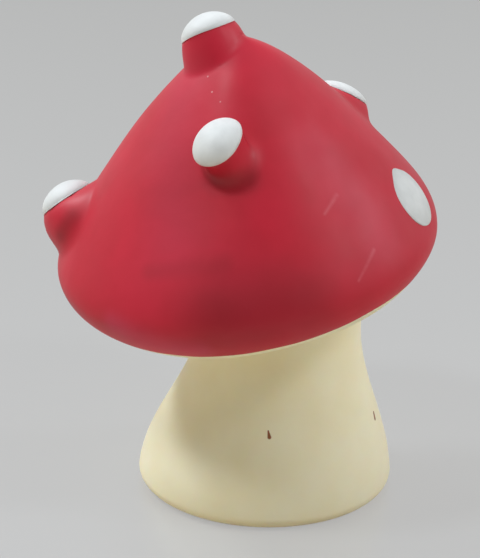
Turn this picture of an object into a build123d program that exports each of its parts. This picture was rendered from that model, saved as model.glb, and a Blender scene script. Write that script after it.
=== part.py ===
"""Mushroom ornament in millimetres, +Z up, with the origin in the middle of the flat base.

The photographed front faces -Y and the cap leans towards -X.
"""

import os
from dataclasses import dataclass
from math import asin, cos, pi, radians, sin, sqrt

from build123d import *

# Stem: a bell whose radius falls along half a cosine wave from the base to the neck
BASE_RADIUS = 14.85
NECK_RADIUS = 9.4
BELL_HEIGHT = 19.6
NECK_SHIFT = 1.4
FOOT_ROUND = 1.3
STEM_WALL = 2.6
FLOOR_THICKNESS = 3.0
STEM_TOP = 30.0
BELL_SECTIONS = 7

# Vent in the base, which lets the firing gas out of the hollow castings
VENT_RADIUS = 2.0
VENT_OFFSET = 7.5

# Cap: round sections stacked on a leaning axis, with the rim at level zero
RIM_X = -2.58
RIM_Z = 29.5
RIM_RADIUS = 21.84
RIM_EASE = 2.3274
CROWN_HEIGHT = 25.86
FLANK_ROUNDNESS = 1.32
CAP_LEAN = 8.78
CAP_NOD = 6.05
TIP_SHIFT = 2.02
FLANK_STEPS = 10
TIP_GAP = 0.7758

# Lip: a quarter ellipse that rolls in under the rim
LIP_DEPTH = 4.45
LIP_ROLL = 7.0
LIP_EXTRA_LEAN = 1.92
LIP_STEPS = 3

# Hollow of the cap
CAP_WALL = 3.2
CROWN_THICKNESS = 5.5
MOUTH_INSET = 5.04
MOUTH_DEPTH = 2.6

# Underside: a plate that closes the cap at the seam and holds the neck in a socket
SEAM_DEPTH = 3.2
PLUG_HEIGHT = 2.0
PLUG_FIT = 0.25
DISH_DEPTH = 1.1
DISH_MARGIN = 1.0
SOCKET_FIT = 0.2
SOCKET_WALL = 2.4
SOCKET_ROOF = 2.4
PASSAGE_RADIUS = 4.0

# Knobs: bumps that rise from a wide foot sunk in the wall to a flat end for the dab
DAB_RADIUS = 3.15

# Length by which a cutting tool runs past the face it cuts
OVERRUN = 1.0

# A cylinder or cone with this alignment stands on its plane
STANDING = (Align.CENTER, Align.CENTER, Align.MIN)


@dataclass
class Knob:
    """One knob: its foot on the cap, the flat end that carries its dab, and the dab's height.

    around is in degrees from the cap's right side over its back and rise is a share of the crown's
    height. reach runs from the cap's surface to the middle of the flat end. The lengths from sink
    to dome are in dab radii: the foot's depth, the radii of the foot, the waist halfway up and the
    end, the reach and the dab's height.
    """

    name: str
    around: float
    rise: float
    foot_facing: tuple
    facing: tuple
    sink: float
    foot: float
    waist: float
    end: float
    reach: tuple
    dome: float


KNOBS = [
    Knob(
        "spot_top",
        around=163.6,
        rise=0.945,
        foot_facing=(-0.45, 0.05, 0.90),
        facing=(-0.40, 0.34, 0.85),
        sink=1.0,
        foot=1.42,
        waist=1.06,
        end=1.0,
        reach=(-0.14, 0.13, 0.43),
        dome=0.63,
    ),
    Knob(
        "spot_front",
        around=-95.0,
        rise=0.587,
        foot_facing=(-0.12, -0.82, 0.56),
        facing=(-0.53, -0.41, 0.74),
        sink=0.41,
        foot=1.27,
        waist=1.04,
        end=1.0,
        reach=(-0.37, 0.0, 0.90),
        dome=0.57,
    ),
    Knob(
        "spot_left",
        around=175.7,
        rise=0.183,
        foot_facing=(-0.89, 0.00, 0.46),
        facing=(-0.54, 0.32, 0.78),
        sink=0.41,
        foot=1.7,
        waist=1.28,
        end=1.0,
        reach=(-0.30, 0.22, 0.69),
        dome=0.6,
    ),
    Knob(
        "spot_right",
        around=-12.5,
        rise=0.198,
        foot_facing=(0.75, -0.25, 0.62),
        facing=(0.77, -0.25, 0.59),
        sink=0.41,
        foot=1.6,
        waist=1.28,
        end=1.11,
        reach=(0.07, -0.03, 0.07),
        dome=0.16,
    ),
    Knob(
        "spot_back_right",
        around=36.9,
        rise=0.479,
        foot_facing=(0.55, 0.41, 0.72),
        facing=(0.38, 0.38, 0.84),
        sink=0.41,
        foot=1.7,
        waist=1.28,
        end=0.95,
        reach=(0.14, 0.10, 0.16),
        dome=0.38,
    ),
    Knob(
        "spot_back",
        around=92.0,
        rise=0.369,
        foot_facing=(0.00, 0.79, 0.61),
        facing=(0.10, 0.62, 0.78),
        sink=0.5,
        foot=1.5,
        waist=1.14,
        end=1.02,
        reach=(0.06, 0.46, 0.52),
        dome=0.54,
    ),
    Knob(
        "spot_back_left",
        around=124.7,
        rise=0.137,
        foot_facing=(-0.52, 0.70, 0.49),
        facing=(-0.50, 0.66, 0.56),
        sink=0.41,
        foot=1.5,
        waist=1.25,
        end=1.08,
        reach=(-0.05, 0.05, 0.05),
        dome=0.2,
    ),
]


def leaning_axes(lean, nod):
    """Right, back and up directions of a section that leans to -X and nods to -Y, in degrees."""
    across = radians(lean)
    forward = radians(nod)
    up = Vector(-sin(across) * cos(forward), -sin(forward), cos(across) * cos(forward))
    back = up.cross(Vector(1, 0, 0)).normalized()
    return back.cross(up), back, up


def cap_plane(level):
    """Plane of the cap's round section at a level above or below the rim."""
    right, _, up = leaning_axes(CAP_LEAN, CAP_NOD)
    rise = min(max(level / CROWN_HEIGHT, 0), 1)
    drop = min(max(-level / LIP_DEPTH, 0), 1)
    middle = Vector(RIM_X, 0, RIM_Z) + up * level + right * (TIP_SHIFT * rise)
    section_right, _, section_up = leaning_axes(CAP_LEAN + LIP_EXTRA_LEAN * drop, CAP_NOD)
    return Plane(origin=middle, x_dir=section_right, z_dir=section_up)


def flank_radius(rim_radius, rise):
    """Radius of a flank at a share of its height: upright at the rim, then sloping to the tip."""
    ease = RIM_EASE / CROWN_HEIGHT
    slope = (sqrt(rise**2 + ease**2) - ease) / (sqrt(1 + ease**2) - ease)
    return rim_radius * (1 - slope) ** (1 / FLANK_ROUNDNESS)


def flank_sections(rim_radius, crown_height):
    """Circles from the rim to just short of the tip of a flank with that radius and height."""
    rises = [step / FLANK_STEPS for step in range(FLANK_STEPS)] + [1 - TIP_GAP / CROWN_HEIGHT]
    return [cap_plane(rise * crown_height) * Circle(flank_radius(rim_radius, rise)) for rise in rises]


def lip_sections(lowest, highest):
    """Circles of the lip between two depths below the rim, from the lower to the higher."""
    sections = []
    for step in range(LIP_STEPS + 1):
        start = asin(lowest / LIP_DEPTH)
        angle = start + (asin(highest / LIP_DEPTH) - start) * step / LIP_STEPS
        radius = RIM_RADIUS - LIP_ROLL * (1 - cos(angle))
        sections.append(cap_plane(-LIP_DEPTH * sin(angle)) * Circle(radius))
    return sections


def cap_point(around, rise):
    """Point on the cap's flank at an angle around it and a share of the crown's height."""
    radius = flank_radius(RIM_RADIUS, rise)
    plane = cap_plane(rise * CROWN_HEIGHT)
    turn = radians(around)
    return plane.from_local_coords(Vector(radius * cos(turn), radius * sin(turn), 0))


def cap_hollow():
    """Space inside the cap: a smaller flank over a straight mouth that runs out through the seam."""
    seam = cap_plane(-SEAM_DEPTH)
    radius = RIM_RADIUS - MOUTH_INSET
    mouth = seam * Pos(0, 0, -OVERRUN) * Cylinder(radius, MOUTH_DEPTH + OVERRUN, align=STANDING)
    shoulder = cap_plane(MOUTH_DEPTH - SEAM_DEPTH - OVERRUN) * Circle(radius)
    dome = loft([shoulder] + flank_sections(RIM_RADIUS - CAP_WALL, CROWN_HEIGHT - CROWN_THICKNESS))
    return mouth + dome


def facing_plane(middle, facing):
    """Plane through a point that faces a direction, turned so that near planes don't twist."""
    outward = Vector(*facing).normalized()
    return Plane(origin=middle, x_dir=Vector(0, 1, 0).cross(outward), z_dir=outward)


def knob_end(knob):
    """Plane of a knob's flat end."""
    middle = cap_point(knob.around, knob.rise) + Vector(*knob.reach) * DAB_RADIUS
    return facing_plane(middle, knob.facing)


def bump(knob):
    """Body of a knob, from its foot inside the wall over its waist to its flat end."""
    sunk = Vector(*knob.foot_facing).normalized() * (knob.sink * DAB_RADIUS)
    foot = facing_plane(cap_point(knob.around, knob.rise) - sunk, knob.foot_facing)
    end = knob_end(knob)
    waist = facing_plane((foot.origin + end.origin) * 0.5, foot.z_dir + end.z_dir)
    rings = ((foot, knob.foot), (waist, knob.waist), (end, knob.end))
    return loft([plane * Circle(radius * DAB_RADIUS) for plane, radius in rings])


def dab(knob):
    """Dab of thick enamel: a dome on a knob's flat end."""
    radius = knob.end * DAB_RADIUS
    height = knob.dome * DAB_RADIUS
    ball = (radius**2 + height**2) / (2 * height)
    edge = (radius, 0)
    top = (0, height)
    outline = RadiusArc(edge, top, -ball) + Polyline(top, (0, 0), edge)
    return knob_end(knob) * revolve(Plane.XZ * make_face(outline), Axis.Z)


def bell(base_radius, neck_radius, start):
    """Bell of the stem between a starting height and the neck."""
    sections = []
    for step in range(BELL_SECTIONS):
        height = start + (BELL_HEIGHT - start) * step / (BELL_SECTIONS - 1)
        wave = (1 + cos(pi * height / BELL_HEIGHT)) / 2
        radius = neck_radius + (base_radius - neck_radius) * wave
        sections.append(Pos(NECK_SHIFT * (1 - wave), 0, height) * Circle(radius))
    return loft(sections)


def neck(radius, bottom, top):
    """Upright cylinder on the neck's axis between two heights."""
    return Pos(NECK_SHIFT, 0, bottom) * Cylinder(radius, top - bottom, align=STANDING)


def make_stem():
    """Hollow stem with a rounded foot, a vent in its floor and an open neck."""
    outside = bell(BASE_RADIUS, NECK_RADIUS, 0)
    outside = fillet(outside.edges().sort_by(Axis.Z)[0], FOOT_ROUND)
    outside += neck(NECK_RADIUS, BELL_HEIGHT, STEM_TOP)
    bore = NECK_RADIUS - STEM_WALL
    inside = bell(BASE_RADIUS - STEM_WALL, bore, FLOOR_THICKNESS)
    inside += neck(bore, BELL_HEIGHT, STEM_TOP + OVERRUN)
    vent_start = Pos(0, VENT_OFFSET, -OVERRUN)
    vent = vent_start * Cylinder(VENT_RADIUS, FLOOR_THICKNESS + 2 * OVERRUN, align=STANDING)
    return outside - inside - vent


def make_underside():
    """Plate under the cap, with a plug into the cap's mouth and a socket for the neck."""
    seam = cap_plane(-SEAM_DEPTH)
    plate = loft(lip_sections(LIP_DEPTH, SEAM_DEPTH))
    plug_radius = RIM_RADIUS - MOUTH_INSET - PLUG_FIT
    plug = seam * Cylinder(plug_radius, PLUG_HEIGHT, align=STANDING)
    post = neck(NECK_RADIUS + SOCKET_FIT + SOCKET_WALL, 0, STEM_TOP + SOCKET_ROOF)
    boss = split(post, bisect_by=seam, keep=Keep.TOP)
    low_ring = cap_plane(-LIP_DEPTH)
    dish_radius = RIM_RADIUS - LIP_ROLL - DISH_MARGIN
    dish = low_ring * Cone(dish_radius, NECK_RADIUS, DISH_DEPTH, align=STANDING)
    socket = neck(NECK_RADIUS + SOCKET_FIT, 0, STEM_TOP)
    passage = neck(PASSAGE_RADIUS, 0, STEM_TOP + SOCKET_ROOF + OVERRUN)
    return plate + plug + boss - dish - socket - passage


def make_cap():
    """Hollow red cap above the seam, with the bumps of its knobs."""
    rim_included = flank_sections(RIM_RADIUS, CROWN_HEIGHT)
    cap = loft(lip_sections(SEAM_DEPTH, 0)[:-1] + rim_included)
    for knob in KNOBS:
        cap += bump(knob)
    return cap - cap_hollow()


pieces = {
    "stem": make_stem(),
    "cap_underside": make_underside(),
    "cap_shell": make_cap(),
}
for knob in KNOBS:
    pieces[knob.name] = dab(knob)

os.makedirs("parts", exist_ok=True)
for name, piece in pieces.items():
    piece.label = name
    export_step(piece, f"parts/{name}.step")
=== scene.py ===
"""Looks of the painted mushroom ornament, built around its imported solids.

Lengths in the classes are in millimetres and angles in degrees. X runs to the right of the
photograph, Y away from its camera and Z up, and the origin is the middle of the flat base.
"""

import logging
from dataclasses import dataclass
from enum import Enum

import bpy
import numpy as np
from mathutils import Matrix


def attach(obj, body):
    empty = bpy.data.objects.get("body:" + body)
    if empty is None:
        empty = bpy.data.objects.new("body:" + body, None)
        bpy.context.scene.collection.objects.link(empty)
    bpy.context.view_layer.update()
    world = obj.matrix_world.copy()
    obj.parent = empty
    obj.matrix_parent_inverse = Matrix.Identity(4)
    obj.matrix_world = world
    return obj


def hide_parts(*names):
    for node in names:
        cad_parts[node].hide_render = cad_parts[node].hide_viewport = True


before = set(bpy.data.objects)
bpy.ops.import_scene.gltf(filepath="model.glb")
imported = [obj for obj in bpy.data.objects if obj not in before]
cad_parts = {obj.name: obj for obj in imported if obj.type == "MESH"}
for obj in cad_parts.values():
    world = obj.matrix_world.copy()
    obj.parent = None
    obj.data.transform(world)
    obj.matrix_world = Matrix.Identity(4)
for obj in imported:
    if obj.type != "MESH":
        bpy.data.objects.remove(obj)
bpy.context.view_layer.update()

LOG = logging.getLogger("mushroom")
BODY = "root"
METRES_PER_MILLIMETRE = 0.001
SHARP_EDGE_ANGLE = 48.0

# Places of the colour sockets on a Mix node
MIX_SHARE, MIX_FIRST, MIX_SECOND, MIX_RESULT = 0, 6, 7, 2

UP = np.array([0.0, 0.0, 1.0])
BLACK = (0.0, 0.0, 0.0, 1.0)
WHITE = (1.0, 1.0, 1.0, 1.0)

Pair = tuple[float, float]
Triple = tuple[float, float, float]
Socket = bpy.types.NodeSocket


class Slot(Enum):
    """Material slots of the record."""

    CREAM = "cream_body"
    RED = "red_paint"
    WHITE = "white_enamel"


class Closing(Enum):
    """How a grid of rings becomes a closed skin."""

    POLES = "first and last ring shrink to points"
    LOOP = "last ring joins the first"


def unit(vectors: np.ndarray) -> np.ndarray:
    """Vectors along the last axis, each divided by its own length."""
    return vectors / np.linalg.norm(vectors, axis=-1, keepdims=True)


def smooth(share: np.ndarray) -> np.ndarray:
    """Share held between 0 and 1 and eased at both ends, as 3s^2 - 2s^3."""
    held = np.clip(share, 0.0, 1.0)
    return held * held * (3.0 - 2.0 * held)


def swell(angle: np.ndarray, middle: float, width: float) -> np.ndarray:
    """Bell curve of the angle from its middle, measured the short way round.

    Args:
        angle: Angles in degrees.
        middle: Angle of the peak.
        width: Angle from the peak at which the curve has fallen to 1/e.

    Returns:
        Values between 0 and 1, in the shape of angle.
    """
    apart = (angle - middle + 180.0) % 360.0 - 180.0
    return np.exp(-((apart / width) ** 2))


def turns(count: int) -> np.ndarray:
    """Evenly spaced angles of one turn in degrees, with the last short of the first."""
    return np.arange(count) * 360.0 / count


def circle(middle: Triple, radius: float, around: np.ndarray) -> np.ndarray:
    """Level circle: the middle plus the radius times cosine and sine of the angle.

    Args:
        middle: Centre of the circle.
        radius: Its radius.
        around: Angles in degrees.

    Returns:
        One point for each angle.
    """
    angle = np.radians(around)
    flat = np.stack([np.cos(angle), np.sin(angle), np.zeros_like(angle)], axis=-1)
    return np.asarray(middle) + radius * flat


def level_rings(shift: np.ndarray, height: np.ndarray, radius: np.ndarray, around: np.ndarray) -> np.ndarray:
    """Level circles above one another, each shifted along X.

    Args:
        shift: X of each circle's middle.
        height: Height of each circle.
        radius: Radius of each circle.
        around: Angles in degrees.

    Returns:
        Points as circles by angles by XYZ.
    """
    shift, height, radius = np.broadcast_arrays(shift, height, radius)
    middle = np.stack([shift, np.zeros_like(height), height], axis=-1)[:, None, :]
    return middle + radius[:, None, None] * circle((0.0, 0.0, 0.0), 1.0, around)[None]


def between(first: np.ndarray, last: np.ndarray, count: int) -> np.ndarray:
    """Rings at even steps on the straight lines between two rings, without the two themselves."""
    share = (np.arange(1, count + 1) / (count + 1))[:, None, None]
    return first + (last - first) * share


def plane_axes(facing: Triple) -> tuple[np.ndarray, np.ndarray, np.ndarray]:
    """Directions of a plane, from cross products of the way it faces with the Y axis.

    Args:
        facing: The way it faces, of any length.

    Returns:
        Its right, back and outward directions.
    """
    outward = unit(np.asarray(facing))
    right = unit(np.cross((0.0, 1.0, 0.0), outward))
    return right, np.cross(outward, right), outward


def grid_faces(rows: int, columns: int, closing: Closing) -> tuple[np.ndarray, np.ndarray]:
    """Corner numbers of the faces of a grid of rings.

    The number of a point is its row times the columns plus its column.

    Args:
        rows: Number of rings that keep all their points.
        columns: Points in a ring.
        closing: How the grid is closed.

    Returns:
        The quads and the triangles. With poles, the two pole points follow the rings' points.
    """
    last_row = rows if closing is Closing.LOOP else rows - 1
    row = np.arange(last_row)[:, None]
    column = np.arange(columns)[None, :]
    following = (column + 1) % columns
    below = (row + 1) % rows
    corners = (
        row * columns + column,
        row * columns + following,
        below * columns + following,
        below * columns + column,
    )
    quads = np.stack(corners, axis=-1).reshape(-1, 4)
    if closing is Closing.LOOP:
        return quads, np.zeros((0, 3), int)
    rim = np.arange(columns)
    onward = (rim + 1) % columns
    first_pole = np.full(columns, rows * columns)
    end = (rows - 1) * columns
    first_fan = np.stack([first_pole, onward, rim], axis=-1)
    last_fan = np.stack([first_pole + 1, end + rim, end + onward], axis=-1)
    return quads, np.concatenate([first_fan, last_fan])


def signed_volume(points: np.ndarray, triangles: np.ndarray) -> float:
    """Volume inside triangles, positive if they face outwards: the sum of a.(b x c) over six."""
    a, b, c = (points[triangles[:, corner]] for corner in range(3))
    return float(np.einsum("ij,ij->i", a, np.cross(b, c)).sum() / 6.0)


def closed_skin(name: str, rings: np.ndarray, closing: Closing) -> bpy.types.Object:
    """Mesh object from a grid of rings, closed and facing outwards.

    Args:
        name: Name of the object and its mesh.
        rings: Points in millimetres, as rings by points in a ring by XYZ.
        closing: How the first and last rings are closed.

    Returns:
        The object, linked to the scene at the origin.
    """
    columns = rings.shape[1]
    if closing is Closing.POLES:
        poles = rings[[0, -1]].mean(axis=1)
        kept = rings[1:-1]
        points = np.concatenate([kept.reshape(-1, 3), poles])
    else:
        kept = rings
        points = kept.reshape(-1, 3)
    quads, fans = grid_faces(len(kept), columns, closing)
    triangles = np.concatenate([quads[:, [0, 1, 2]], quads[:, [0, 2, 3]], fans])
    if signed_volume(points, triangles) < 0.0:
        quads, fans = quads[:, ::-1], fans[:, ::-1]
    mesh = bpy.data.meshes.new(name)
    mesh.from_pydata((points * METRES_PER_MILLIMETRE).tolist(), [], quads.tolist() + fans.tolist())
    mesh.shade_smooth()
    mesh.set_sharp_from_angle(angle=np.radians(SHARP_EDGE_ANGLE))
    piece = bpy.data.objects.new(name, mesh)
    bpy.context.scene.collection.objects.link(piece)
    return piece


def linear(colour: Triple) -> tuple[float, float, float, float]:
    """Linear colour of a display colour, by the usual display curve.

    A share c of full brightness becomes c / 12.92 up to 0.04045 and ((c + 0.055) / 1.055)^2.4 above.

    Args:
        colour: Red, green and blue from 0 to 255.

    Returns:
        Red, green and blue from 0 to 1, and an alpha of 1.
    """
    share = np.asarray(colour) / 255.0
    low = share / 12.92
    high = ((share + 0.055) / 1.055) ** 2.4
    return (*np.where(share <= 0.04045, low, high).tolist(), 1.0)


@dataclass(frozen=True)
class Clouds:
    """Cloudy pattern: the rough width of a cloud, its octaves, and the span of the noise that is used."""

    size: float
    detail: float
    low: float
    high: float


@dataclass(frozen=True)
class Specks:
    """Scattered specks: the rough spacing of their cells, their radius and the share of cells with one."""

    spacing: float
    radius: float
    share: float


@dataclass(frozen=True)
class Relief:
    """Shallow bumps of a coat: width and depth of its coarse and of its fine ones, and their octaves."""

    coarse_size: float
    coarse_depth: float
    fine_size: float
    fine_depth: float
    detail: float = 2.0


@dataclass(frozen=True)
class Streak:
    """Fine mark on a surface, from one point to another, with its half width at each of them."""

    start: Triple
    end: Triple
    start_half_width: float
    end_half_width: float


@dataclass(frozen=True)
class Patch:
    """Soft-edged streak of another colour, with its strength in the middle."""

    line: Streak
    tint: Triple
    strength: float


class FinishTree:
    """Shader tree of one finish, with short calls for the nodes it is made of."""

    def __init__(self, name: str) -> None:
        """Starts a material with one principled shader and Object coordinates.

        Args:
            name: Name of the material.
        """
        self.material = bpy.data.materials.new(name)
        self.material.use_nodes = True
        self.tree = self.material.node_tree
        self.tree.nodes.clear()
        self.shader = self.add("ShaderNodeBsdfPrincipled")
        output = self.add("ShaderNodeOutputMaterial")
        self.tree.links.new(self.shader.outputs["BSDF"], output.inputs["Surface"])
        self.place = self.add("ShaderNodeTexCoord").outputs["Object"]

    def add(self, kind: str, **settings: object) -> bpy.types.Node:
        """Adds a node.

        Args:
            kind: The node's type.
            settings: Properties to set on it.

        Returns:
            The node.
        """
        node = self.tree.nodes.new(kind)
        for setting, value in settings.items():
            setattr(node, setting, value)
        return node

    def feed(self, target: Socket, source: object) -> None:
        """Links a socket to the target, or sets the target to a plain value.

        Args:
            target: The input socket.
            source: An output socket or a value.
        """
        if isinstance(source, Socket):
            self.tree.links.new(source, target)
        else:
            target.default_value = source

    def dress_shader(self, inputs: dict[str, object]) -> None:
        """Feeds inputs of the shader by name."""
        for name, source in inputs.items():
            self.feed(self.shader.inputs[name], source)

    def glow(self, weight: float, reach: Triple) -> None:
        """Lets light spread inside the coat, with a reach in millimetres for each colour."""
        inside = {"Subsurface Weight": weight, "Subsurface Radius": reach}
        self.dress_shader(inside | {"Subsurface Scale": METRES_PER_MILLIMETRE})

    def noise(self, size: float, detail: float) -> Socket:
        """Cloudy noise from 0 to 1.

        Args:
            size: Rough width of one cloud in millimetres.
            detail: Octaves of finer noise.

        Returns:
            The socket with the noise.
        """
        node = self.add("ShaderNodeTexNoise")
        self.feed(node.inputs["Vector"], self.place)
        node.inputs["Scale"].default_value = 1.0 / (size * METRES_PER_MILLIMETRE)
        node.inputs["Detail"].default_value = detail
        return node.outputs["Fac"]

    def span(self, value: Socket, low: float, high: float, start: float = 0.0, end: float = 1.0) -> Socket:
        """Carries values between low and high onto start to end, and holds the rest at the ends.

        Args:
            value: The values.
            low: Value that becomes start.
            high: Value that becomes end.
            start: Result at low.
            end: Result at high.

        Returns:
            The socket with the results.
        """
        node = self.add("ShaderNodeMapRange")
        self.feed(node.inputs["Value"], value)
        for label, number in zip(("From Min", "From Max", "To Min", "To Max"), (low, high, start, end)):
            node.inputs[label].default_value = number
        return node.outputs["Result"]

    def clouds(self, pattern: Clouds, start: float = 0.0, end: float = 1.0) -> Socket:
        """Noise of a pattern, with the pattern's span carried onto start to end."""
        return self.span(self.noise(pattern.size, pattern.detail), pattern.low, pattern.high, start, end)

    def math(self, operation: str, first: object, second: object) -> Socket:
        """Works out one operation on two values or sockets, and holds the result between 0 and 1.

        Args:
            operation: Name of the operation, such as ADD or MULTIPLY.
            first: Its first value.
            second: Its second value.

        Returns:
            The socket with the result.
        """
        node = self.add("ShaderNodeMath", operation=operation, use_clamp=True)
        self.feed(node.inputs[0], first)
        self.feed(node.inputs[1], second)
        return node.outputs["Value"]

    def blend(self, share: object, first: object, second: object) -> Socket:
        """Mixes two colours.

        Args:
            share: Share of the second colour.
            first: The first colour.
            second: The second colour.

        Returns:
            The socket with the mixed colour.
        """
        node = self.add("ShaderNodeMix", data_type="RGBA")
        for place, source in ((MIX_SHARE, share), (MIX_FIRST, first), (MIX_SECOND, second)):
            self.feed(node.inputs[place], source)
        return node.outputs[MIX_RESULT]

    def streak(self, mark: Streak) -> Socket:
        """Mask of a streak: 1 less the distance from the line between its ends over the half width there.

        Args:
            mark: The streak.

        Returns:
            The socket with the mask.
        """
        start = np.asarray(mark.start) * METRES_PER_MILLIMETRE
        run = np.asarray(mark.end) * METRES_PER_MILLIMETRE - start
        offset = self.add("ShaderNodeVectorMath", operation="SUBTRACT")
        self.feed(offset.inputs[0], self.place)
        offset.inputs[1].default_value = start
        along = self.add("ShaderNodeVectorMath", operation="DOT_PRODUCT")
        self.feed(along.inputs[0], offset.outputs["Vector"])
        along.inputs[1].default_value = run / (run @ run)
        nearest = self.add("ShaderNodeVectorMath", operation="SCALE")
        nearest.inputs[0].default_value = run
        self.feed(nearest.inputs["Scale"], self.span(along.outputs["Value"], 0.0, 1.0))
        widths = np.array([mark.start_half_width, mark.end_half_width]) * METRES_PER_MILLIMETRE
        half_width = self.span(along.outputs["Value"], 0.0, 1.0, *widths.tolist())
        apart = self.add("ShaderNodeVectorMath", operation="DISTANCE")
        self.feed(apart.inputs[0], offset.outputs["Vector"])
        self.feed(apart.inputs[1], nearest.outputs["Vector"])
        return self.math("SUBTRACT", 1.0, self.math("DIVIDE", apart.outputs["Value"], half_width))

    def soft_patch(self, patch: Patch) -> Socket:
        """Mask of a patch: its streak, rounded off at both ends of the ramp, times its strength.

        Args:
            patch: The patch.

        Returns:
            The socket with the mask.
        """
        ramp = self.add("ShaderNodeMapRange", interpolation_type="SMOOTHSTEP")
        self.feed(ramp.inputs["Value"], self.streak(patch.line))
        return self.math("MULTIPLY", ramp.outputs["Result"], patch.strength)

    def spot(self, middle: Triple, radius: float) -> Socket:
        """Mask of a round spot, which falls evenly from 1 at its middle to 0 at its radius.

        Args:
            middle: Middle of the spot in millimetres.
            radius: Its radius in millimetres.

        Returns:
            The socket with the mask.
        """
        apart = self.add("ShaderNodeVectorMath", operation="DISTANCE")
        self.feed(apart.inputs[0], self.place)
        apart.inputs[1].default_value = np.asarray(middle) * METRES_PER_MILLIMETRE
        return self.span(apart.outputs["Value"], 0.0, radius * METRES_PER_MILLIMETRE, 1.0, 0.0)

    def specks(self, pattern: Specks) -> Socket:
        """Mask of scattered specks, one in some cells of a Voronoi pattern.

        Args:
            pattern: The specks.

        Returns:
            The socket with the mask.
        """
        cells = self.add("ShaderNodeTexVoronoi")
        self.feed(cells.inputs["Vector"], self.place)
        cells.inputs["Scale"].default_value = 1.0 / (pattern.spacing * METRES_PER_MILLIMETRE)
        core = self.span(cells.outputs["Distance"], 0.0, pattern.radius / pattern.spacing, 1.0, 0.0)
        chosen = self.math("LESS_THAN", cells.outputs["Color"], pattern.share)
        return self.math("MULTIPLY", core, chosen)

    def bump(self, relief: Relief) -> None:
        """Bumps the shader's normal with the coarse and then the fine noise of a relief.

        Args:
            relief: The relief.
        """
        bumps = ((relief.coarse_size, relief.coarse_depth), (relief.fine_size, relief.fine_depth))
        target = self.shader.inputs["Normal"]
        for size, depth in reversed(bumps):
            node = self.add("ShaderNodeBump")
            node.inputs["Distance"].default_value = depth * METRES_PER_MILLIMETRE
            self.feed(node.inputs["Height"], self.noise(size, relief.detail))
            self.feed(target, node.outputs["Normal"])
            target = node.inputs["Normal"]


@dataclass(frozen=True)
class RedPaint:
    """Satin red paint on the cap, with random haze, dust and two scuffs, painted shade low at the front,
    under two knobs and along the crease, and painted sheen on the flanks and the lower edge.
    """

    thin: Triple = (207, 15, 48)
    thick: Triple = (193, 10, 39)
    thickness: Clouds = Clouds(9.0, 3.0, 0.35, 0.65)
    haze: Triple = (206, 66, 92)
    haze_film: Clouds = Clouds(16.0, 2.0, 0.48, 0.75)
    haze_strength: float = 0.12
    # Patches of colour painted where light and shade fall: the dark ones are painted shade, the pink ones
    # painted sheen and reflection.
    painted_shade_and_sheen: tuple[Patch, ...] = (
        # Painted shade along the soft crease at the front left.
        Patch(Streak((-13.0, -16.4, 32.1), (-5.2, -18.8, 34.0), 1.6, 2.2), (146, 6, 24), 0.30),
        # Painted shade over the lower front of the cap.
        Patch(Streak((-4.8, -21.0, 29.6), (3.2, -20.5, 30.6), 6.5, 6.5), (144, 6, 24), 0.62),
        # Painted shade under the front knob.
        Patch(Streak((-5.9, -14.0, 41.9), (-2.4, -14.2, 42.1), 2.4, 2.2), (140, 5, 22), 0.55),
        # Painted shade in the crease beside the left knob.
        Patch(Streak((-23.6, -3.0, 31.0), (-22.3, -3.3, 33.5), 1.5, 1.6), (140, 5, 22), 0.55),
        # Painted reflection of the table along the lower front edge.
        Patch(Streak((-17.0, -15.9, 25.4), (-7.5, -19.9, 24.6), 2.6, 2.6), (206, 66, 104), 0.34),
        # Painted sheen down the left flank.
        Patch(Streak((-9.7, -3.9, 50.1), (-10.7, -15.5, 36.1), 5.5, 6.5), (204, 62, 98), 0.16),
        # Painted sheen on the right flank.
        Patch(Streak((4.9, -10.5, 44.3), (11.9, -13.1, 35.6), 4.5, 5.0), (204, 62, 98), 0.10),
    )
    scuff: Triple = (224, 120, 130)
    scuffs: tuple[Streak, ...] = (
        Streak((9.53, -17.40, 31.95), (11.19, -14.63, 34.44), 0.24, 0.36),
        Streak((5.73, -14.86, 38.60), (7.03, -12.99, 40.07), 0.28, 0.40),
    )
    scuff_strength: float = 0.30
    scuff_breaks: Clouds = Clouds(0.8, 2.0, 0.2, 0.6)
    scuff_least: float = 0.4
    dust: Triple = (230, 180, 182)
    dust_specks: Specks = Specks(4.6, 0.08, 0.14)
    grains: tuple[Triple, ...] = (
        (-7.17, -6.22, 51.10),
        (-6.65, -7.80, 49.84),
        (-5.71, -8.87, 49.07),
    )
    grain_radius: float = 0.14
    gloss: Clouds = Clouds(5.0, 3.0, 0.3, 0.7)
    roughness: Pair = (0.52, 0.64)
    sheen_level: float = 0.42
    coat_weight: float = 0.2
    coat_roughness: float = 0.38
    relief: Relief = Relief(3.2, 0.05, 0.35, 0.006)

    def build(self) -> bpy.types.Material:
        """Makes the material: clouds of thin and thick paint, haze, patches of painted shade and painted
        sheen, scuffs, dust and a coat.

        Returns:
            The material.
        """
        tree = FinishTree("red_satin_paint")
        colour = tree.blend(tree.clouds(self.thickness), linear(self.thick), linear(self.thin))
        colour = tree.blend(tree.clouds(self.haze_film, 0.0, self.haze_strength), colour, linear(self.haze))
        # Blends in the patches of painted shade and painted sheen.
        for patch in self.painted_shade_and_sheen:
            colour = tree.blend(tree.soft_patch(patch), colour, linear(patch.tint))
        breaks = tree.clouds(self.scuff_breaks, self.scuff_least, 1.0)
        for scuff in self.scuffs:
            mark = tree.math("MULTIPLY", tree.streak(scuff), breaks)
            colour = tree.blend(tree.math("MULTIPLY", mark, self.scuff_strength), colour, linear(self.scuff))
        colour = tree.blend(tree.specks(self.dust_specks), colour, linear(self.dust))
        for middle in self.grains:
            colour = tree.blend(tree.spot(middle, self.grain_radius), colour, linear(self.dust))
        tree.dress_shader({"Base Color": colour, "Roughness": tree.clouds(self.gloss, *self.roughness)})
        tree.dress_shader({"Specular IOR Level": self.sheen_level})
        tree.dress_shader({"Coat Weight": self.coat_weight, "Coat Roughness": self.coat_roughness})
        tree.bump(self.relief)
        return tree.material


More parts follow.
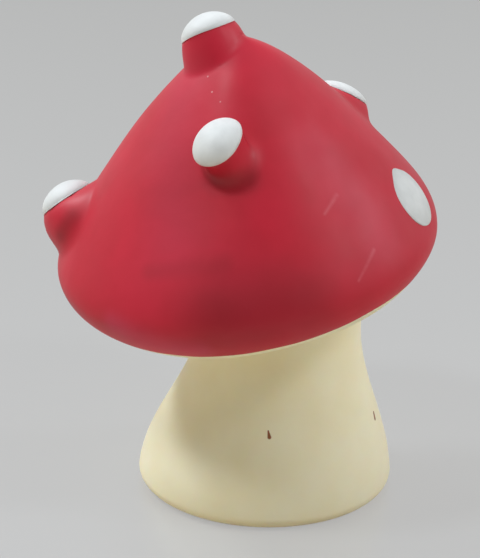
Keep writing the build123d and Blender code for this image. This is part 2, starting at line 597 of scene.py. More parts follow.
@dataclass(frozen=True)
class CreamBody:
    """Cream coat on the stem and the underside, with brown flecks and painted warm shade at the foot, where
    it meets the table.
    """

    pale: Triple = (252, 240, 209)
    deep: Triple = (249, 235, 199)
    depth: Clouds = Clouds(7.0, 3.0, 0.35, 0.65)
    # foot is the colour of the painted warm shade where the stem meets the table.
    foot: Triple = (249, 228, 186)
    painted_shade_height: float = 2.2
    painted_shade_strength: float = 0.5
    grey_mark: Triple = (170, 158, 122)
    grey_marks: tuple[Streak, ...] = (Streak((-7.91, -12.56, 0.26), (-7.60, -12.70, 0.20), 0.20, 0.20),)
    grey_strength: float = 0.6
    grey_specks: Specks = Specks(6.5, 0.07, 0.10)
    fleck: Triple = (146, 86, 46)
    flecks: tuple[Streak, ...] = (
        Streak((0.22, -11.56, 11.05), (0.36, -11.86, 10.40), 0.14, 0.36),
        Streak((12.52, -3.04, 9.55), (12.66, -3.27, 8.95), 0.34, 0.44),
    )
    fleck_edge: Pair = (0.25, 0.55)
    gloss: Clouds = Clouds(4.0, 3.0, 0.3, 0.7)
    roughness: Pair = (0.42, 0.58)
    glow_weight: float = 0.25
    glow_reach: Triple = (3.0, 1.8, 0.8)
    relief: Relief = Relief(2.8, 0.04, 0.3, 0.005)

    def build(self) -> bpy.types.Material:
        """Makes the material: pale and deep clouds, painted warm shade by height at the base, grey marks,
        flecks and specks.

        Returns:
            The material.
        """
        tree = FinishTree("cream_satin_coat")
        colour = tree.blend(tree.clouds(self.depth), linear(self.deep), linear(self.pale))
        height = tree.add("ShaderNodeSeparateXYZ")
        tree.feed(height.inputs["Vector"], tree.place)
        top = self.painted_shade_height * METRES_PER_MILLIMETRE
        # Painted warm shade at the base: the foot colour fades from its strength at the bottom to nothing at
        # its height.
        painted_base_shade = tree.span(height.outputs["Z"], 0.0, top, self.painted_shade_strength, 0.0)
        colour = tree.blend(painted_base_shade, colour, linear(self.foot))
        for mark in self.grey_marks:
            faint = tree.math("MULTIPLY", tree.streak(mark), self.grey_strength)
            colour = tree.blend(faint, colour, linear(self.grey_mark))
        for mark in self.flecks:
            edge = tree.span(tree.streak(mark), *self.fleck_edge)
            colour = tree.blend(edge, colour, linear(self.fleck))
        colour = tree.blend(tree.specks(self.grey_specks), colour, linear(self.grey_mark))
        tree.dress_shader({"Base Color": colour, "Roughness": tree.clouds(self.gloss, *self.roughness)})
        tree.glow(self.glow_weight, self.glow_reach)
        tree.bump(self.relief)
        return tree.material


@dataclass(frozen=True)
class WhiteEnamel:
    """Thick white enamel of the dabs, smoother than the red, with faint brush ridges."""

    bright: Triple = (229, 229, 228)
    dull: Triple = (219, 219, 218)
    brightness: Clouds = Clouds(2.2, 3.0, 0.35, 0.65)
    gloss: Clouds = Clouds(1.6, 2.0, 0.3, 0.7)
    roughness: Pair = (0.46, 0.58)
    glow_weight: float = 0.6
    glow_reach: Triple = (1.6, 1.6, 1.6)
    relief: Relief = Relief(1.4, 0.03, 0.3, 0.004)

    def build(self) -> bpy.types.Material:
        """Makes the material: faint clouds, patchy gloss, a glow and a fine relief.

        Returns:
            The material.
        """
        tree = FinishTree("white_enamel_dab")
        colour = tree.blend(tree.clouds(self.brightness), linear(self.dull), linear(self.bright))
        tree.dress_shader({"Base Color": colour, "Roughness": tree.clouds(self.gloss, *self.roughness)})
        tree.glow(self.glow_weight, self.glow_reach)
        tree.bump(self.relief)
        return tree.material


def dress(piece: bpy.types.Object, material: bpy.types.Material, node: str) -> None:
    """Gives a piece its material, hangs it on the body and hides the solid that it stands for.

    Args:
        piece: The piece.
        material: Its finish.
        node: Name of the solid that the piece replaces.
    """
    piece.data.materials.append(material)
    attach(piece, BODY)
    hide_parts(node)
    LOG.info("%s: %d faces", piece.name, len(piece.data.polygons))


@dataclass(frozen=True)
class Wall:
    """Wall of a knob, from the cap's skin up to its end.

    It leaves the skin at the spread from the root, which grows by the trail towards trail_around.
    It turns up after the fillet, a share of the spread, the more sharply the higher its firmness,
    and swells by its bulge halfway up.
    """

    spread: float
    fillet: float
    firmness: float = 2.0
    bulge: float = 0.0
    trail: float = 0.0
    trail_around: float = 0.0

    def spread_at(self, around: np.ndarray) -> np.ndarray:
        """Distance from the root at which the wall leaves the skin, at angles in radians."""
        return self.spread + self.trail * np.cos(around - np.radians(self.trail_around))


@dataclass(frozen=True)
class Skirt:
    """How far a dab runs down the wall: a level part and waves once and twice round, each with its turn."""

    level: float
    single_wave: float
    single_turn: float
    double_wave: float
    double_turn: float

    def length_at(self, around: np.ndarray) -> np.ndarray:
        """Length at angles in radians: the level part plus the cosines of the two waves.

        Args:
            around: The angles.

        Returns:
            The lengths.
        """
        once = self.single_wave * np.cos(around - np.radians(self.single_turn))
        twice = self.double_wave * np.cos(2.0 * (around - np.radians(self.double_turn)))
        return self.level + once + twice


@dataclass(frozen=True, kw_only=True)
class Spot:
    """Place and outline of one white dab that lies flat on the cap.

    around is measured from the cap's right side over its back, and rise is a share of the crown's
    height. Each stretch of the outline is an angle, a width and a share of the radius.
    """

    node: str
    around: float
    rise: float
    facing: Triple
    radius: float
    dome: float
    stretches: tuple[Triple, ...] = ()

    def outline(self, around: np.ndarray, inset: float) -> np.ndarray:
        """Edge of the dab as offsets from its middle: a circle, stretched by bell curves of the angle.

        Args:
            around: Angles in radians.
            inset: How much smaller than the dab's edge.

        Returns:
            Offsets with XYZ as their last axis.
        """
        right, back, _ = plane_axes(self.facing)
        angle = around[..., None]
        turn = np.degrees(angle)
        longer = sum(share * swell(turn, middle, width) for middle, width, share in self.stretches)
        return (self.radius * (1.0 + longer) - inset) * (np.cos(angle) * right + np.sin(angle) * back)


@dataclass(frozen=True, kw_only=True)
class Knob(Spot):
    """Spot on a raised knob, whose reach runs from the cap's surface to the middle of the knob's end."""

    foot_facing: Triple
    reach: Triple
    wall: Wall
    skirt: Skirt


SPOTS = (
    Knob(
        node="spot_top",
        around=163.6,
        rise=0.945,
        foot_facing=(-0.31, 0.05, 0.95),
        reach=(-0.43, 0.42, 1.35),
        facing=(-0.40, 0.34, 0.85),
        radius=3.15,
        dome=1.92,
        wall=Wall(spread=4.2, fillet=0.16, firmness=2.4, bulge=0.3),
        skirt=Skirt(level=0.30, single_wave=0.12, single_turn=200.0, double_wave=0.16, double_turn=142.0),
    ),
    Knob(
        node="spot_front",
        around=-93.0,
        rise=0.591,
        foot_facing=(-0.12, -0.82, 0.56),
        reach=(-1.56, -0.05, 2.67),
        facing=(-0.53, -0.41, 0.74),
        radius=3.15,
        dome=1.8,
        stretches=((-45.0, 38.0, -0.06),),
        wall=Wall(spread=3.9, fillet=0.50, firmness=1.0, trail=1.0, trail_around=90.0),
        skirt=Skirt(level=0.16, single_wave=0.08, single_turn=30.0, double_wave=0.06, double_turn=100.0),
    ),
    Knob(
        node="spot_left",
        around=175.7,
        rise=0.183,
        foot_facing=(-0.89, 0.00, 0.46),
        reach=(-0.89, 0.70, 2.16),
        facing=(-0.54, 0.32, 0.78),
        radius=3.15,
        dome=1.8,
        wall=Wall(spread=5.6, fillet=0.22, firmness=2.2, bulge=1.2, trail=1.75, trail_around=320.0),
        skirt=Skirt(level=0.18, single_wave=0.10, single_turn=260.0, double_wave=0.06, double_turn=20.0),
    ),
    Spot(
        node="spot_right",
        around=-12.5,
        rise=0.198,
        facing=(0.77, -0.25, 0.59),
        radius=3.5,
        dome=0.28,
        stretches=((172.0, 18.0, 0.12), (-90.0, 40.0, -0.08), (80.0, 40.0, 0.10)),
    ),
    Knob(
        node="spot_back_right",
        around=36.9,
        rise=0.479,
        foot_facing=(0.55, 0.41, 0.72),
        reach=(0.44, 0.33, 0.50),
        facing=(0.38, 0.38, 0.84),
        radius=3.0,
        dome=1.15,
        wall=Wall(spread=5.2, fillet=0.25, bulge=0.3, trail=0.4),
        skirt=Skirt(level=0.16, single_wave=0.06, single_turn=80.0, double_wave=0.06, double_turn=10.0),
    ),
    Knob(
        node="spot_back",
        around=92.0,
        rise=0.369,
        foot_facing=(0.00, 0.79, 0.61),
        reach=(0.19, 1.44, 1.63),
        facing=(0.10, 0.62, 0.78),
        radius=3.2,
        dome=1.6,
        wall=Wall(spread=5.2, fillet=0.26, bulge=0.25),
        skirt=Skirt(level=0.18, single_wave=0.08, single_turn=140.0, double_wave=0.08, double_turn=60.0),
    ),
    Spot(
        node="spot_back_left",
        around=124.7,
        rise=0.137,
        facing=(-0.50, 0.66, 0.56),
        radius=3.4,
        dome=0.3,
    ),
)


@dataclass
class Stem:
    """Hollow cream stem: a bell with a rounded foot, a vent in its floor and an open neck."""

    base_radius: float = 14.85
    neck_radius: float = 9.4
    bell_height: float = 19.6
    neck_shift: float = 1.4
    foot_round: float = 1.3
    wall: float = 2.6
    floor: float = 3.0
    top: float = 30.0
    vent_radius: float = 2.0
    vent_offset: float = 7.5
    columns: int = 256
    bell_rows: int = 80
    foot_rows: int = 14
    base_rows: int = 6
    floor_rows: int = 4
    inner_rows: int = 30

    def bell(self, height: np.ndarray, inset: float) -> tuple[np.ndarray, np.ndarray]:
        """Radius and sideways shift of the bell at a height, both along half a cosine wave.

        Args:
            height: Heights above the base.
            inset: How far inside the outer surface.

        Returns:
            The radii and the shifts of the middle towards +X.
        """
        wave = (1.0 + np.cos(np.pi * np.clip(height / self.bell_height, 0.0, 1.0))) / 2.0
        radius = self.neck_radius + (self.base_radius - self.neck_radius) * wave - inset
        return radius, self.neck_shift * (1.0 - wave)

    def mesh(self) -> bpy.types.Object:
        """One loop of circles: down the outside, round the foot, across the base, up the inside.

        The foot is a quarter circle that leaves the bell at the height of its own radius.

        Returns:
            The stem.
        """
        around = turns(self.columns)
        top = circle((self.neck_shift, 0.0, self.top), self.neck_radius, around)
        height = np.linspace(self.bell_height, self.foot_round, self.bell_rows)
        radius, shift = self.bell(height, 0.0)
        outside = level_rings(shift, height, radius, around)
        quarter = np.radians(np.linspace(0.0, 90.0, self.foot_rows + 1)[1:])
        foot_height = self.foot_round * (1.0 - np.sin(quarter))
        foot_radius = radius[-1] - self.foot_round * (1.0 - np.cos(quarter))
        foot = level_rings(shift[-1], foot_height, foot_radius, around)
        vent_low = circle((0.0, self.vent_offset, 0.0), self.vent_radius, around)
        vent_high = circle((0.0, self.vent_offset, self.floor), self.vent_radius, around)
        inner_height = np.linspace(self.floor, self.bell_height, self.inner_rows)
        inner_radius, inner_shift = self.bell(inner_height, self.wall)
        inside = level_rings(inner_shift, inner_height, inner_radius, around)
        bore = circle((self.neck_shift, 0.0, self.top), self.neck_radius - self.wall, around)
        parts = [
            top[None],
            outside,
            foot,
            between(foot[-1], vent_low, self.base_rows),
            vent_low[None],
            vent_high[None],
            between(vent_high, inside[0], self.floor_rows),
            inside,
            bore[None],
        ]
        return closed_skin("stem_bell", np.concatenate(parts), Closing.LOOP)

    def build(self, cream: bpy.types.Material) -> None:
        """Builds the stem and dresses it in the cream coat."""
        dress(self.mesh(), cream, "stem")


@dataclass(frozen=True)
class Ripple:
    """Sine wave round the cap: its turns, share of the full height, phase and advance with the level."""

    turns: float
    share: float
    phase: float = 0.0
    advance: float = 0.0

    def at(self, angle: np.ndarray, level: np.ndarray) -> np.ndarray:
        """Share times the sine of turns times the angle in radians plus advance times level plus phase."""
        return self.share * np.sin(self.turns * angle + self.advance * level + self.phase)


@dataclass
class Cap:
    """Red cap with its knobs, and the cream underside that closes it and holds the stem's neck.

    A sag of the lip is an angle, a width and a depth.
    """

    stem: Stem
    rim_x: float = -2.58
    rim_z: float = 29.5
    rim_radius: float = 21.82
    rim_ease: float = 0.09
    crown_height: float = 25.86
    flank_roundness: float = 1.32
    lean: float = 8.78
    nod: float = 6.05
    tip_shift: float = 2.02
    tip_dip: float = 0.5
    tip_dip_radius: float = 3.5
    lip_depth: float = 4.45
    lip_roll: float = 7.0
    lip_extra_lean: float = 1.92
    sags: tuple[Triple, ...] = ((-98.0, 34.0, 0.62), (-45.0, 24.0, 0.64))
    wall: float = 3.2
    crown_thickness: float = 5.5
    mouth_radius: float = 16.8
    line_depth: float = 2.7
    line_lift: float = 0.85
    line_lift_around: float = -46.0
    line_lift_width: float = 26.0
    line_wobble: float = 0.06
    line_ripples: tuple[Ripple, ...] = (Ripple(5.0, 1.0, 0.7), Ripple(11.0, 0.6, 2.0), Ripple(23.0, 0.4))
    hand_wave: float = 0.05
    hand_ripples: tuple[Ripple, ...] = (Ripple(3.0, 1.0, 0.0, 0.35), Ripple(5.0, 0.7, 1.3, -0.5))
    hand_fade: float = 4.0
    crease_depth: float = 0.22
    crease_around: float = -114.0
    crease_width: float = 13.0
    crease_level: float = 5.2
    crease_slope: float = -0.028
    crease_half_width: float = 0.8
    dish_depth: float = 1.1
    joint_start: float = 0.82
    joint_drop: float = 0.9
    neck_gap: float = 0.05
    boss_radius: float = 12.0
    plug_gap: float = 0.3
    plate_depth: float = 1.0
    paint_inset: float = 0.10
    core_share: float = 0.16
    slope_step: float = 0.02
    settle_steps: int = 24
    settle_pace: float = 0.7
    profile_steps: int = 4000
    columns: int = 384
    flank_rows: int = 160
    lip_rows: int = 26
    seam_rows: int = 2
    inner_rows: int = 16
    dish_rows: int = 40

    def axes(self, lean: np.ndarray) -> tuple[np.ndarray, np.ndarray, np.ndarray]:
        """Right, back and up directions of sections that lean to -X and nod to -Y.

        Args:
            lean: Lean of each section in degrees.

        Returns:
            Three arrays of directions, with XYZ as their last axis.
        """
        across = np.radians(lean)
        forward = np.radians(self.nod) * np.ones_like(across)
        parts = (-np.sin(across) * np.cos(forward), -np.sin(forward), np.cos(across) * np.cos(forward))
        up = np.stack(parts, axis=-1)
        back = unit(np.cross(up, (1.0, 0.0, 0.0)))
        return np.cross(back, up), back, up

    def middle(self, level: np.ndarray) -> np.ndarray:
        """Middle of the section at a level: up the leaning axis and sideways with the tip's shift.

        Args:
            level: Levels above the rim.

        Returns:
            Points with XYZ as their last axis.
        """
        right, _, up = self.axes(np.asarray(self.lean))
        rise = np.clip(level / self.crown_height, 0.0, 1.0)[..., None]
        return np.array([self.rim_x, 0.0, self.rim_z]) + level[..., None] * up + self.tip_shift * rise * right

    def section(self, around: np.ndarray, level: np.ndarray, radius: np.ndarray) -> np.ndarray:
        """Points of the cap's round sections.

        A point is the section's middle plus the radius times the cosine of its angle to the right
        and the sine of it to the back. Sections below the rim lean further, in step with the depth.

        Args:
            around: Angles in degrees.
            level: Levels above the rim, which broadcast with the angles.
            radius: Radii, which broadcast with the angles.

        Returns:
            Points with XYZ as their last axis.
        """
        around, level, radius = np.broadcast_arrays(around, level, radius)
        drop = np.clip(-level / self.lip_depth, 0.0, 1.0)
        right, back, _ = self.axes(self.lean + self.lip_extra_lean * drop)
        angle = np.radians(around)[..., None]
        return self.middle(level) + radius[..., None] * (np.cos(angle) * right + np.sin(angle) * back)

    def flank_radius(self, rise: np.ndarray) -> np.ndarray:
        """Radius at a share of the crown's height: R (1 - t)^(1/p), with t easing in from the rim.

        t is (sqrt(rise^2 + e^2) - e) / (sqrt(1 + e^2) - e) for an ease e, so the flank stands
        upright at the rim and then slopes evenly.

        Args:
            rise: Shares of the crown's height.

        Returns:
            The radii.
        """
        whole = np.hypot(1.0, self.rim_ease) - self.rim_ease
        slope = (np.hypot(rise, self.rim_ease) - self.rim_ease) / whole
        return self.rim_radius * np.clip(1.0 - slope, 0.0, 1.0) ** (1.0 / self.flank_roundness)

    def profile(self) -> tuple[np.ndarray, np.ndarray, np.ndarray]:
        """Profile of the cap from its tip over the rim to the lowest ring of the lip.

        Near the tip, the flank is lower by a dip times exp(-(r / its radius)^2). Below the flank,
        the lip is r = R - roll (1 - cos a), level = -depth sin a for a from 0 to 90 degrees.

        Returns:
            Lengths along the profile, and the level and the radius at each.
        """
        rise = np.linspace(1.0, 0.0, self.profile_steps)
        quarter = np.radians(np.linspace(0.0, 90.0, self.profile_steps))[1:]
        lip_radius = self.rim_radius - self.lip_roll * (1.0 - np.cos(quarter))
        flank_radius = self.flank_radius(rise)
        dip = self.tip_dip * np.exp(-((flank_radius / self.tip_dip_radius) ** 2))
        radius = np.concatenate([flank_radius, lip_radius])
        level = np.concatenate([rise * self.crown_height - dip, -self.lip_depth * np.sin(quarter)])
        run = np.concatenate([[0.0], np.cumsum(np.hypot(np.diff(radius), np.diff(level)))])
        return run, level, radius

    def run_at(self, level: np.ndarray) -> np.ndarray:
        """Length along the profile at which it passes a level."""
        lengths, levels, _ = self.profile()
        return np.interp(-level, -levels, lengths)

    def skin(self, around: np.ndarray, run: np.ndarray) -> np.ndarray:
        """Points of the cap's outer surface at angles around it and lengths along its profile.

        The plain sections are moved by the hand-made waves, and the lip sags in places by bell
        curves of the angle that ease in from the rim downwards.

        Args:
            around: Angles in degrees.
            run: Lengths along the profile, which broadcast with the angles.

        Returns:
            Points with XYZ as their last axis.
        """
        lengths, levels, radii = self.profile()
        around, run = np.broadcast_arrays(around, run)
        level = np.interp(run, lengths, levels)
        points = self.section(around, level, np.interp(run, lengths, radii))
        points = self.hand_made(points, around, level)
        drop = sum(depth * swell(around, middle, width) for middle, width, depth in self.sags)
        drop = drop * smooth(-level / self.lip_depth)
        return points - drop[..., None] * UP

    def paint_depth(self, around: np.ndarray) -> np.ndarray:
        """Depth of the red paint's lower edge below the rim: lifted at the front right, with a wobble.

        Args:
            around: Angles in degrees.

        Returns:
            The depths.
        """
        angle = np.radians(around)
        wobble = sum(ripple.at(angle, np.zeros_like(angle)) for ripple in self.line_ripples)
        lift = self.line_lift * swell(around, self.line_lift_around, self.line_lift_width)
        return self.line_depth - lift + self.line_wobble * wobble

    def hand_made(self, points: np.ndarray, around: np.ndarray, level: np.ndarray) -> np.ndarray:
        """Moves flank points in or out by a few slow waves and by the soft crease at the front left.

        The waves are ripples that fade towards the rim, and the crease is a bell curve across a
        line whose level falls with the angle. Outwards is away from the axis at half the level.

        Args:
            points: Points of the flank.
            around: Their angles in degrees.
            level: Their levels above the rim.

        Returns:
            The moved points.
        """
        angle = np.radians(around)
        waves = sum(ripple.at(angle, level) for ripple in self.hand_ripples)
        line = self.crease_level + self.crease_slope * (around - self.crease_around)
        across = (level - line) / self.crease_half_width
        crease = np.exp(-(across**2)) * swell(around, self.crease_around, self.crease_width)
        offset = self.hand_wave * waves * smooth(level / self.hand_fade) - self.crease_depth * crease
        return points + offset[..., None] * unit(points - self.middle(level / 2.0))

    def root(self, spot: Spot) -> np.ndarray:
        """Point of the cap's surface that a spot or its knob stands on."""
        rise = np.asarray(spot.rise)
        return self.section(np.asarray(spot.around), rise * self.crown_height, self.flank_radius(rise))

    def settle(self, points: np.ndarray, outward: np.ndarray) -> np.ndarray:
        """Slides points along a direction until they lie on the plain flank.

        Each step measures how far a point stands off its own section's circle and takes it back by
        most of that along the direction, which closes in on the surface.

        Args:
            points: Points near the flank.
            outward: Direction to slide along.

        Returns:
            The points on the flank.
        """
        _, levels, radii = self.profile()
        rim = np.array([self.rim_x, 0.0, self.rim_z])
        _, _, up = self.axes(np.asarray(self.lean))
        for _ in range(self.settle_steps):
            level = (points - rim) @ up
            from_middle = np.linalg.norm(points - self.middle(level), axis=-1)
            stand_off = from_middle - np.interp(-level, -levels, radii)
            points = points - stand_off[..., None] * self.settle_pace * outward
        return points

    def wall_guides(self, knob: Knob, angle: np.ndarray) -> tuple[np.ndarray, ...]:
        """Guide points of a knob's wall at angles round it: start, corner, side and edge.

        The wall starts on the skin at the spread, runs along the skin's slope to a corner at the
        end of the fillet, swells beside the middle of the way up, and ends at the edge of the end.

        Args:
            knob: The knob.
            angle: Angles in radians.

        Returns:
            Four arrays of points.
        """
        root = self.root(knob)
        right, back, outward = plane_axes(knob.foot_facing)
        ray = np.cos(angle)[..., None] * right + np.sin(angle)[..., None] * back
        spread = knob.wall.spread_at(angle)[..., None]
        start = self.settle(root + spread * ray, outward)
        inward = self.settle(root + (1.0 - self.slope_step) * spread * ray, outward) - start
        corner = start + knob.wall.fillet * spread * unit(inward)
        offset = knob.outline(angle, self.paint_inset)
        edge = root + np.asarray(knob.reach) + offset
        side = (corner + edge) / 2.0 + knob.wall.bulge * unit(offset)
        return start, corner, side, edge

    def wall_points(self, knob: Knob, angle: np.ndarray, climb: np.ndarray) -> np.ndarray:
        """Points of a knob's wall at angles round it and shares u of the way up.

        The wall is the rational cubic curve of its guide points, which have the weights (1 - u)^3,
        3 f u (1 - u)^2, 3 f u^2 (1 - u) and u^3 for the firmness f.

        Args:
            knob: The knob.
            angle: Angles in radians.
            climb: Shares of the way up, which broadcast with the angles.

        Returns:
            Points with XYZ as their last axis.
        """
        share = climb[..., None]
        rest = 1.0 - share
        middle = 3.0 * knob.wall.firmness * share * rest
        weights = (rest**3, middle * rest, middle * share, share**3)
        guides = self.wall_guides(knob, angle)
        return sum(weight * guide for weight, guide in zip(weights, guides)) / sum(weights)

    def raise_knob(self, points: np.ndarray, knob: Knob) -> np.ndarray:
        """Draws the skin round a knob's root up into its wall and its flat end.

        A skin point at a share s of the spread from the root goes to the wall on its own side, the
        further up the smaller s is, and keeps a fading rest of its hand-made offset. Points in the
        core become the end.

        Args:
            points: Points of the flank.
            knob: The knob.

        Returns:
            The points, with those near the knob moved.
        """
        root = self.root(knob)
        right, back, outward = plane_axes(knob.foot_facing)
        offset = points - root
        angle = np.arctan2(offset @ back, offset @ right)
        away = np.hypot(offset @ back, offset @ right) / knob.wall.spread_at(angle)
        near = (away < 1.0) & (offset @ outward > -knob.wall.spread)
        chosen, away, angle = points[near], away[near], angle[near]
        climb = np.clip((1.0 - away) / (1.0 - self.core_share), 0.0, 1.0)
        hand_made = (1.0 - climb)[:, None] * (chosen - self.settle(chosen, outward))
        middle = root + np.asarray(knob.reach) - self.paint_inset * unit(np.asarray(knob.facing))
        across = np.clip(away / self.core_share, 0.0, 1.0)[:, None]
        end = middle + knob.outline(angle, self.paint_inset) * across
        in_core = (away < self.core_share)[:, None]
        moved = points.copy()
        moved[near] = np.where(in_core, end, self.wall_points(knob, angle, climb) + hand_made)
        return moved

    def shell_mesh(self) -> bpy.types.Object:
        """Red shell: flank with its knobs, lip down to the paint's edge, and the wall of the hollow.

        Returns:
            The shell.
        """
        around = turns(self.columns)[None, :]
        rim = self.run_at(np.asarray(0.0))
        seam = self.run_at(-self.paint_depth(around))
        flank_run = np.linspace(0.0, rim, self.flank_rows)[:, None]
        lip_share = (np.arange(1, self.lip_rows + 1) / self.lip_rows)[:, None]
        lip_run = rim + (seam - rim) * lip_share
        run = np.concatenate([np.repeat(flank_run, self.columns, axis=1), lip_run])
        outside = self.skin(around, run)
        for spot in SPOTS:
            if isinstance(spot, Knob):
                outside = self.raise_knob(outside, spot)
        mouth = self.section(around, -self.paint_depth(around), np.asarray(self.mouth_radius))
        rise = np.linspace(0.0, 1.0, self.inner_rows)[:, None]
        inner_height = self.crown_height - self.crown_thickness
        inner_radius = self.flank_radius(rise) * (1.0 - self.wall / self.rim_radius)
        hollow = self.section(around, rise * inner_height, inner_radius)
        rings = np.concatenate([outside, between(outside[-1], mouth[0], self.seam_rows), mouth, hollow])
        return closed_skin("cap", rings, Closing.POLES)

    def neck_ring(self, around: np.ndarray) -> np.ndarray:
        """Points of the socket's wall where it meets the bottom of the dish, parallel to the lowest ring.

        Args:
            around: Angles in degrees.

        Returns:
            One point for each angle.
        """
        _, _, up = self.axes(np.asarray(self.lean + self.lip_extra_lean))
        middle = self.middle(np.asarray(self.dish_depth - self.lip_depth))
        ring = circle((self.stem.neck_shift, 0.0, 0.0), self.stem.neck_radius + self.neck_gap, around)
        level = middle[2] - ((ring - middle)[..., :2] @ up[:2]) / up[2]
        return np.concatenate([ring[..., :2], level[..., None]], axis=-1)

    def underside_mesh(self) -> bpy.types.Object:
        """Cream underside: the rest of the lip, a shallow dish that runs onto the neck, and its socket.

        The dish is the straight lines from the lowest ring to the neck, bent down beside the neck
        by the square of the last part of the way.

        Returns:
            The underside.
        """
        around = turns(self.columns)
        seam = self.run_at(-self.paint_depth(around))[None, :]
        share = np.linspace(0.0, 1.0, self.lip_rows)[:, None]
        lowest = self.run_at(np.asarray(-self.lip_depth))
        lip = self.skin(around[None, :], seam + (lowest - seam) * share)
        way = np.linspace(0.0, 1.0, self.dish_rows + 1)[1:, None, None]
        bend = np.clip((way - self.joint_start) / (1.0 - self.joint_start), 0.0, 1.0) ** 2
        dish = lip[-1] + (self.neck_ring(around) - lip[-1]) * way - self.joint_drop * bend * UP
        top = (self.stem.neck_shift, 0.0, self.stem.top)
        socket = circle(top, self.stem.neck_radius + self.neck_gap, around)
        boss = circle(top, self.boss_radius, around)
        plug_radius = np.asarray(self.mouth_radius - self.plug_gap)
        plate = self.section(around, np.asarray(-self.plate_depth), plug_radius)
        plug = self.section(around, -self.paint_depth(around), plug_radius)
        inside = np.stack([socket, boss, plate, plug])
        return closed_skin("underside", np.concatenate([lip, dish, inside]), Closing.LOOP)

    def build(self, cream: bpy.types.Material, red: bpy.types.Material) -> None:
        """Builds the underside and the shell and dresses them in their coats."""
        dress(self.underside_mesh(), cream, "cap_underside")
        dress(self.shell_mesh(), red, "cap_shell")


@dataclass
class Dab:
    """Thick dab of enamel on a spot of the cap, with a hand-painted edge."""

    cap: Cap
    spot: Spot
    coat: float = 0.08
    lap: float = 0.2
    sunk: float = 0.4
    roundness: float = 0.66
    columns: int = 144
    dome_rows: int = 26
    skirt_rows: int = 5

    def flat_rings(self) -> np.ndarray:
        """Low lens laid on the skin, closed inside the wall.

        A point at a share s of the way to the outline lies on the skin, raised by the edge's coat
        plus the dome's height times (1 - s^2).

        Returns:
            Rings from the middle of the lens over its edge to a point inside the wall.
        """
        root = self.cap.root(self.spot)
        _, _, outward = plane_axes(self.spot.facing)
        angle = np.radians(turns(self.columns))
        share = np.linspace(0.0, 1.0, self.dome_rows)[:, None, None]
        seat = self.cap.settle(root + share * self.spot.outline(angle, 0.0), outward)
        lens = seat + (self.coat + self.spot.dome * (1.0 - share**2)) * outward
        edge = seat[-1:] - self.coat * outward
        inside = np.broadcast_to(root - self.sunk * outward, edge.shape)
        return np.concatenate([lens, edge, inside])

    def raised_rings(self, knob: Knob) -> np.ndarray:
        """Dome over the end of a knob, skirt down its wall and a closed inside.

        The dome's height is its full height times (1 - s^2) to the power of the roundness, for s
        from 0 in the middle to 1 at its edge. The skirt follows the knob's wall. The share of the way
        that it takes is its length over the wall's pace at its end, which is 3 f times the distance
        between the last two guide points, for the firmness f.

        Args:
            knob: The knob.

        Returns:
            Rings from the middle of the dome over its edge to a point inside the knob.
        """
        angle = np.radians(turns(self.columns))
        offset = knob.outline(angle, self.cap.paint_inset)
        radial = unit(offset)
        _, _, outward = plane_axes(knob.facing)
        middle = self.cap.root(knob) + np.asarray(knob.reach)
        share = np.sin(np.linspace(0.0, np.pi / 2.0, self.dome_rows))[:, None, None]
        height = knob.dome * np.clip(1.0 - share**2, 0.0, 1.0) ** self.roundness
        dome = middle + (offset + self.coat * radial) * share + height * outward
        _, _, side, edge = self.cap.wall_guides(knob, angle)
        pace = 3.0 * knob.wall.firmness * np.linalg.norm(edge - side, axis=-1)
        way = (np.arange(1, self.skirt_rows + 1) / self.skirt_rows)[:, None]
        wall = self.cap.wall_points(knob, angle, 1.0 - way * knob.skirt.length_at(angle) / pace)
        skirt = wall + self.coat * radial
        floor = middle - self.sunk * outward
        lapped = wall[-1] - self.lap * radial
        inside = np.stack([lapped, floor + offset / 2.0, np.broadcast_to(floor, offset.shape)])
        return np.concatenate([dome, skirt, inside])

    def build(self, white: bpy.types.Material) -> None:
        """Builds the dab for its kind of seat and dresses it in the enamel.

        Args:
            white: The enamel.
        """
        rings = self.raised_rings(self.spot) if isinstance(self.spot, Knob) else self.flat_rings()
        piece = closed_skin(self.spot.node.replace("spot", "dab"), rings, Closing.POLES)
        dress(piece, white, self.spot.node)


@dataclass(frozen=True)
class SoftBox:
    """Square soft light: its name, its place and its power in watts."""

    name: str
    place: Triple
    power: float


@dataclass(frozen=True)
class SkySide:
    """Soft light of the sky that grows along an axis: its strength there, negative on the axis's low side."""

    axis: str
    strength: float


